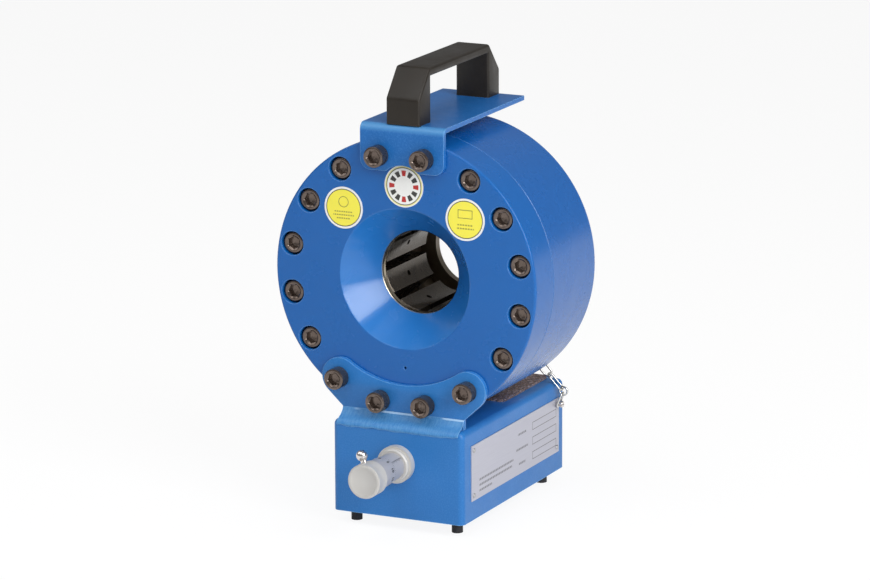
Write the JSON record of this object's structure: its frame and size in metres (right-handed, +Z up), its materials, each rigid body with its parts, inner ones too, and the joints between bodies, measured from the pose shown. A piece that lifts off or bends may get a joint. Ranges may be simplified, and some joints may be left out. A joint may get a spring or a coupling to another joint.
{
  "type": "hose crimping machine",
  "caption": "Portable hydraulic hose crimping machine: ring-shaped head with a conical entry and radial master dies, on a sheet-metal base with a micrometer, and a carry handle on top.",
  "frame": {"origin": "on the floor, under the middle of the bounding box", "axes": "+X to the right seen from the front, +Y from the front to the rear along the crimp axis, +Z up"},
  "size_m": [0.24, 0.269, 0.39],
  "materials": {
    "blue_paint": "semi-gloss mid blue coat with a light orange peel",
    "floor_paint": "semi-gloss mid blue coat",
    "black_oxide": "oiled black oxide",
    "die_steel": "ground and darkly phosphated, oiled",
    "ground_steel": "ground",
    "spring_steel": "oiled",
    "seal_rubber": "matt",
    "handle_plastic": "fine moulded grain, slightly shiny on the edges",
    "foot_rubber": "matt",
    "cork_rubber": "mottled cork and rubber granules",
    "plate_aluminium": "satin anodised",
    "label_yellow": "printed film",
    "label_white": "printed film",
    "micrometer_cream": "matt blasted and anodised",
    "micrometer_scale": "satin",
    "chrome": "bright",
    "switch_plastic": "moulded",
    "plunger_plastic": "moulded",
    "zinc_steel": "zinc plated",
    "cap_rubber": "matt moulded",
    "chain_steel": "bright nickel plated"
  },
  "bodies": {
    "head_and_base": {"base_box": "blue_paint", "base_bracket": "blue_paint", "base_bracket_screws": "black_oxide", "base_floor": "floor_paint", "carry_handle": "handle_plastic", "chain_screw": "chain_steel", "cradle_pad": "cork_rubber", "cylinder_body": "blue_paint", "die_springs": "spring_steel", "dust_cap": "cap_rubber", "feet": "foot_rubber", "flange_screws": "black_oxide", "foot_nuts": "ground_steel", "front_flange": "blue_paint", "handle_bracket": "blue_paint", "handle_bracket_screws": "black_oxide", "handle_screws": "black_oxide", "label_left": "label_yellow", "label_right": "label_yellow", "label_top": "label_white", "micrometer_flange": "micrometer_cream", "micrometer_nut": "ground_steel", "micrometer_sleeve": "micrometer_scale", "nameplate": "plate_aluminium", "nameplate_rivets": "plate_aluminium", "port_adapter": "zinc_steel", "quick_coupling": "zinc_steel", "rod_seal": "seal_rubber", "switch_rail": "ground_steel", "tether_chain": "chain_steel", "wiper_ring": "seal_rubber"},
    "piston": {"piston": "die_steel", "piston_seal": "seal_rubber", "follower_arm": "ground_steel", "arm_screws": "black_oxide", "stop_rod": "ground_steel"},
    "switch_carriage": {"switch_carriage": "ground_steel", "limit_switch": "switch_plastic"},
    "thimble": {"thimble": "micrometer_cream", "spindle": "ground_steel"},
    "lock_screw": {"lock_screw": "chrome"},
    "switch_plunger": {"switch_plunger": "plunger_plastic"},
    "master_die_1": {"master_die_1": "die_steel"},
    "master_die_2": {"master_die_2": "die_steel"},
    "master_die_3": {"master_die_3": "die_steel"},
    "master_die_4": {"master_die_4": "die_steel"},
    "master_die_5": {"master_die_5": "die_steel"},
    "master_die_6": {"master_die_6": "die_steel"},
    "master_die_7": {"master_die_7": "die_steel"},
    "master_die_8": {"master_die_8": "die_steel"}
  },
  "joints": [
    {"name": "piston_slide", "type": "slide", "parent": "head_and_base", "child": "piston", "axis": [0, -1, 0], "range_m": [0, 0.019], "deforming": ["die_springs"]},
    {"name": "die_1_slide", "type": "slide", "parent": "head_and_base", "child": "master_die_1", "axis": [-0.3827, 0, -0.9239], "range_m": [0, 0.0095]},
    {"name": "die_2_slide", "type": "slide", "parent": "head_and_base", "child": "master_die_2", "axis": [-0.9239, 0, -0.3827], "range_m": [0, 0.0095]},
    {"name": "die_3_slide", "type": "slide", "parent": "head_and_base", "child": "master_die_3", "axis": [-0.9239, 0, 0.3827], "range_m": [0, 0.0095]},
    {"name": "die_4_slide", "type": "slide", "parent": "head_and_base", "child": "master_die_4", "axis": [-0.3827, 0, 0.9239], "range_m": [0, 0.0095]},
    {"name": "die_5_slide", "type": "slide", "parent": "head_and_base", "child": "master_die_5", "axis": [0.3827, 0, 0.9239], "range_m": [0, 0.0095]},
    {"name": "die_6_slide", "type": "slide", "parent": "head_and_base", "child": "master_die_6", "axis": [0.9239, 0, 0.3827], "range_m": [0, 0.0095]},
    {"name": "die_7_slide", "type": "slide", "parent": "head_and_base", "child": "master_die_7", "axis": [0.9239, 0, -0.3827], "range_m": [0, 0.0095]},
    {"name": "die_8_slide", "type": "slide", "parent": "head_and_base", "child": "master_die_8", "axis": [0.3827, 0, -0.9239], "range_m": [0, 0.0095]},
    {"name": "carriage_slide", "type": "slide", "parent": "head_and_base", "child": "switch_carriage", "axis": [0, 1, 0], "range_m": [-0.005, 0.005]},
    {"name": "thimble_turn", "type": "hinge", "parent": "switch_carriage", "child": "thimble", "pos_m": [0, -0.1345, 0.0585], "axis": [0, 1, 0], "range_deg": [-1800, 1800]},
    {"name": "lock_screw_turn", "type": "hinge", "parent": "thimble", "child": "lock_screw", "pos_m": [0, -0.1225, 0.0585], "axis": [-0.342, 0, 0.9397], "range_deg": [0, 360]},
    {"name": "plunger_press", "type": "slide", "parent": "switch_carriage", "child": "switch_plunger", "axis": [0, -1, 0], "range_m": [0, 0.0015], "stiffness_N_per_m": 300}
  ],
  "couplings": [
    {"joint": "die_1_slide", "follows": "piston_slide", "ratio": 0.5},
    {"joint": "die_2_slide", "follows": "piston_slide", "ratio": 0.5},
    {"joint": "die_3_slide", "follows": "piston_slide", "ratio": 0.5},
    {"joint": "die_4_slide", "follows": "piston_slide", "ratio": 0.5},
    {"joint": "die_5_slide", "follows": "piston_slide", "ratio": 0.5},
    {"joint": "die_6_slide", "follows": "piston_slide", "ratio": 0.5},
    {"joint": "die_7_slide", "follows": "piston_slide", "ratio": 0.5},
    {"joint": "die_8_slide", "follows": "piston_slide", "ratio": 0.5},
    {"joint": "thimble_turn", "follows": "carriage_slide", "rad_per_m": 6283.1}
  ]
}
